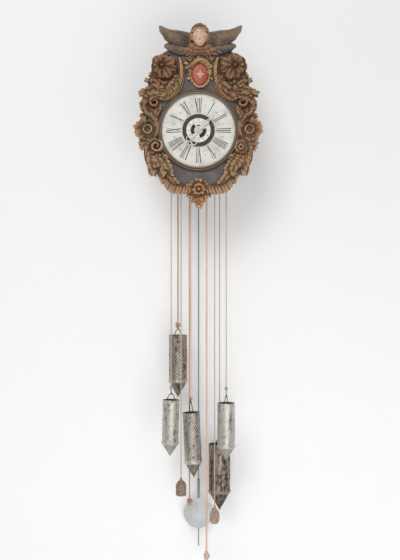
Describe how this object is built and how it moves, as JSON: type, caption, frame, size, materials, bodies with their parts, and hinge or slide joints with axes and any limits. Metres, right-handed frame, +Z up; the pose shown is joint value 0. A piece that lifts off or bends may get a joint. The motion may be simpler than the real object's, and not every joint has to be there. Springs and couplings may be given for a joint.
{
  "type": "weight-driven wall clock",
  "caption": "Weight-driven wall clock: carved painted shield with winged child's head, round dial and pierced hands, wooden movement box, hanging tin weights on ropes and a long pendulum.",
  "frame": {"origin": "centre of the hanging hole, in the wall plane", "axes": "+Z up, +X to the viewer's right, -Y out of the wall towards the viewer"},
  "size_m": [0.301, 0.2095, 1.2806],
  "materials": {
    "frame_wood": "worn",
    "wheel_wood": "waxed",
    "shield_paint": "worn paint",
    "carving": "worn gilding",
    "wing_paint": "worn paint",
    "flesh_paint": "satin paint",
    "red_paint": "satin paint",
    "frame_green": "worn paint",
    "dial_paint": "worn paint",
    "bezel": "waxed",
    "hand_metal": "worn",
    "black_metal": "worn",
    "iron": "forged",
    "wire": "dull",
    "bell_metal": "aged",
    "tin_dark": "patinated",
    "tin_grey": "patinated",
    "rust": "rusted",
    "bob_tin": "dull",
    "hemp": "twisted",
    "grey_cord": "twisted",
    "beaded_cord": "twisted"
  },
  "bodies": {
    "case": {"alarm_rope": "grey_cord", "bell_stands": "iron", "cartouche_boss": "red_paint", "cartouche_frame": "frame_green", "cherub_head": "flesh_paint", "dial_bezel": "bezel", "dial_panel": "dial_paint", "feather_ruff": "carving", "flower_carvings": "carving", "frame_bottom": "frame_wood", "frame_top": "frame_wood", "gadroon_carvings": "carving", "going_rope": "hemp", "hammer_rails": "frame_wood", "hanging_loop": "iron", "hour_bell": "bell_metal", "hour_rope": "grey_cord", "lower_foliage": "carving", "movement_plates": "frame_wood", "pendant_leaf": "carving", "pendulum_cock": "iron", "quarter_bell": "bell_metal", "quarter_rope": "beaded_cord", "repeat_rope": "grey_cord", "shell_carvings": "carving", "shield_board": "shield_paint", "side_boards": "frame_wood", "upper_foliage": "carving", "wings": "wing_paint"},
    "minute": {"minute_arbor": "wheel_wood", "minute_hand": "hand_metal"},
    "hour": {"hour_wheel": "wheel_wood", "hour_hand": "hand_metal"},
    "alarm_setting": {"alarm_disc": "black_metal"},
    "great": {"going_great_wheel": "wheel_wood"},
    "second": {"second_wheel": "wheel_wood"},
    "escape": {"escape_wheel": "wheel_wood"},
    "anchor": {"anchor": "iron"},
    "motion": {"minute_wheel": "wheel_wood"},
    "pendulum": {"pendulum_rod": "wire", "pendulum_bob": "bob_tin"},
    "quarter_wheel": {"quarter_strike_wheel": "wheel_wood"},
    "quarter_fan": {"quarter_fly": "wheel_wood"},
    "hour_strike": {"hour_strike_wheel": "wheel_wood"},
    "hour_fan": {"hour_fly": "wheel_wood"},
    "repeat_wheel": {"repeat_strike_wheel": "wheel_wood"},
    "alarm_crown": {"alarm_wheel": "wheel_wood"},
    "hour_beater": {"hour_hammer": "iron"},
    "quarter_beater": {"quarter_hammer": "iron"},
    "alarm_beater": {"alarm_hammer": "iron"},
    "alarm_load": {"alarm_weight": "tin_grey"},
    "quarter_load": {"quarter_weight": "tin_dark"},
    "going_load": {"going_weight": "tin_dark"},
    "repeat_load": {"repeat_weight": "tin_grey"},
    "hour_load": {"hour_weight": "tin_dark"},
    "alarm_tail_end": {"alarm_counterweight": "rust"},
    "quarter_tail_end": {"quarter_tail": "hemp"},
    "going_tail_end": {"going_tail": "hemp"},
    "repeat_tail_end": {"repeat_counterweight": "rust"},
    "hour_tail_end": {"hour_tail": "hemp"}
  },
  "joints": [
    {"name": "alarm_weight_fall", "type": "slide", "parent": "case", "child": "alarm_load", "axis": [0, 0, -1], "range_m": [-0.33, 0.02], "deforming": ["alarm_rope"]},
    {"name": "alarm_tail_rise", "type": "slide", "parent": "case", "child": "alarm_tail_end", "axis": [0, 0, -1], "range_m": [-0.02, 0.33]},
    {"name": "quarter_weight_fall", "type": "slide", "parent": "case", "child": "quarter_load", "axis": [0, 0, -1], "range_m": [-0.25, 0.55], "deforming": ["quarter_rope"]},
    {"name": "quarter_tail_rise", "type": "slide", "parent": "case", "child": "quarter_tail_end", "axis": [0, 0, -1], "range_m": [-0.55, 0.25]},
    {"name": "going_weight_fall", "type": "slide", "parent": "case", "child": "going_load", "axis": [0, 0, -1], "range_m": [-0.33, 0.55], "deforming": ["going_rope"]},
    {"name": "going_tail_rise", "type": "slide", "parent": "case", "child": "going_tail_end", "axis": [0, 0, -1], "range_m": [-0.55, 0.33]},
    {"name": "repeat_weight_fall", "type": "slide", "parent": "case", "child": "repeat_load", "axis": [0, 0, -1], "range_m": [-0.33, 0.045], "deforming": ["repeat_rope"]},
    {"name": "repeat_tail_rise", "type": "slide", "parent": "case", "child": "repeat_tail_end", "axis": [0, 0, -1], "range_m": [-0.045, 0.33]},
    {"name": "hour_weight_fall", "type": "slide", "parent": "case", "child": "hour_load", "axis": [0, 0, -1], "range_m": [-0.4, 0.55], "deforming": ["hour_rope"]},
    {"name": "hour_tail_rise", "type": "slide", "parent": "case", "child": "hour_tail_end", "axis": [0, 0, -1], "range_m": [-0.55, 0.4]},
    {"name": "great_turn", "type": "hinge", "parent": "case", "child": "great", "pos_m": [0, -0.099, -0.184], "axis": [0, 1, 0], "continuous": true},
    {"name": "minute_turn", "type": "hinge", "parent": "case", "child": "minute", "pos_m": [0, -0.099, -0.128], "axis": [0, 1, 0], "continuous": true},
    {"name": "hour_turn", "type": "hinge", "parent": "case", "child": "hour", "pos_m": [0, -0.16, -0.128], "axis": [0, 1, 0], "continuous": true},
    {"name": "motion_turn", "type": "hinge", "parent": "case", "child": "motion", "pos_m": [0.018, -0.152, -0.128], "axis": [0, 1, 0], "continuous": true},
    {"name": "second_turn", "type": "hinge", "parent": "case", "child": "second", "pos_m": [0.02204, -0.099, -0.10549], "axis": [0, 1, 0], "continuous": true},
    {"name": "escape_turn", "type": "hinge", "parent": "case", "child": "escape", "pos_m": [0, -0.099, -0.08955], "axis": [0, 1, 0], "continuous": true},
    {"name": "alarm_set", "type": "hinge", "parent": "hour", "child": "alarm_setting", "pos_m": [0, -0.182, -0.128], "axis": [0, 1, 0], "continuous": true},
    {"name": "pendulum_swing", "type": "hinge", "parent": "case", "child": "pendulum", "pos_m": [0, -0.022, -0.06405], "axis": [0, 1, 0], "range_deg": [-3, 3]},
    {"name": "anchor_rock", "type": "hinge", "parent": "case", "child": "anchor", "pos_m": [0, -0.06, -0.06405], "axis": [0, 1, 0], "range_deg": [-3, 3]},
    {"name": "quarter_turn", "type": "hinge", "parent": "case", "child": "quarter_wheel", "pos_m": [-0.0365, -0.064, -0.184], "axis": [0, 1, 0], "continuous": true},
    {"name": "quarter_fly_spin", "type": "hinge", "parent": "case", "child": "quarter_fan", "pos_m": [-0.0365, -0.064, -0.15], "axis": [0, 1, 0], "continuous": true},
    {"name": "hour_strike_turn", "type": "hinge", "parent": "case", "child": "hour_strike", "pos_m": [0.0355, -0.064, -0.184], "axis": [0, 1, 0], "continuous": true},
    {"name": "hour_fly_spin", "type": "hinge", "parent": "case", "child": "hour_fan", "pos_m": [0.0355, -0.064, -0.15], "axis": [0, 1, 0], "continuous": true},
    {"name": "repeat_turn", "type": "hinge", "parent": "case", "child": "repeat_wheel", "pos_m": [0.0525, -0.133, -0.184], "axis": [0, 1, 0], "continuous": true},
    {"name": "alarm_wheel_turn", "type": "hinge", "parent": "case", "child": "alarm_crown", "pos_m": [-0.0536, -0.133, -0.184], "axis": [0, 1, 0], "continuous": true},
    {"name": "hour_hammer_lift", "type": "hinge", "parent": "case", "child": "hour_beater", "pos_m": [0.0778, -0.097, -0.022], "axis": [0, 1, 0], "range_deg": [0, 12]},
    {"name": "quarter_hammer_lift", "type": "hinge", "parent": "case", "child": "quarter_beater", "pos_m": [-0.0748, -0.097, -0.022], "axis": [0, 1, 0], "range_deg": [-12, 0]},
    {"name": "alarm_hammer_lift", "type": "hinge", "parent": "case", "child": "alarm_beater", "pos_m": [0.0028, -0.097, -0.022], "axis": [0, 1, 0], "range_deg": [0, 6]}
  ],
  "couplings": [
    {"joint": "alarm_tail_rise", "follows": "alarm_weight_fall", "ratio": -1},
    {"joint": "quarter_tail_rise", "follows": "quarter_weight_fall", "ratio": -1},
    {"joint": "going_tail_rise", "follows": "going_weight_fall", "ratio": -1},
    {"joint": "repeat_tail_rise", "follows": "repeat_weight_fall", "ratio": -1},
    {"joint": "hour_tail_rise", "follows": "hour_weight_fall", "ratio": -1},
    {"joint": "great_turn", "follows": "going_weight_fall", "rad_per_m": -51.282},
    {"joint": "minute_turn", "follows": "going_weight_fall", "rad_per_m": 153.85},
    {"joint": "hour_turn", "follows": "going_weight_fall", "rad_per_m": 12.821},
    {"joint": "motion_turn", "follows": "going_weight_fall", "rad_per_m": -51.282},
    {"joint": "second_turn", "follows": "going_weight_fall", "rad_per_m": -1230.8},
    {"joint": "escape_turn", "follows": "going_weight_fall", "rad_per_m": 9230.8},
    {"joint": "anchor_rock", "follows": "pendulum_swing", "ratio": 1},
    {"joint": "quarter_turn", "follows": "quarter_weight_fall", "rad_per_m": -69.93},
    {"joint": "quarter_fly_spin", "follows": "quarter_weight_fall", "rad_per_m": 524.48},
    {"joint": "hour_strike_turn", "follows": "hour_weight_fall", "rad_per_m": 60.606},
    {"joint": "hour_fly_spin", "follows": "hour_weight_fall", "rad_per_m": -454.55},
    {"joint": "repeat_turn", "follows": "repeat_weight_fall", "rad_per_m": 72.464},
    {"joint": "alarm_wheel_turn", "follows": "alarm_weight_fall", "rad_per_m": -84.746}
  ]
}
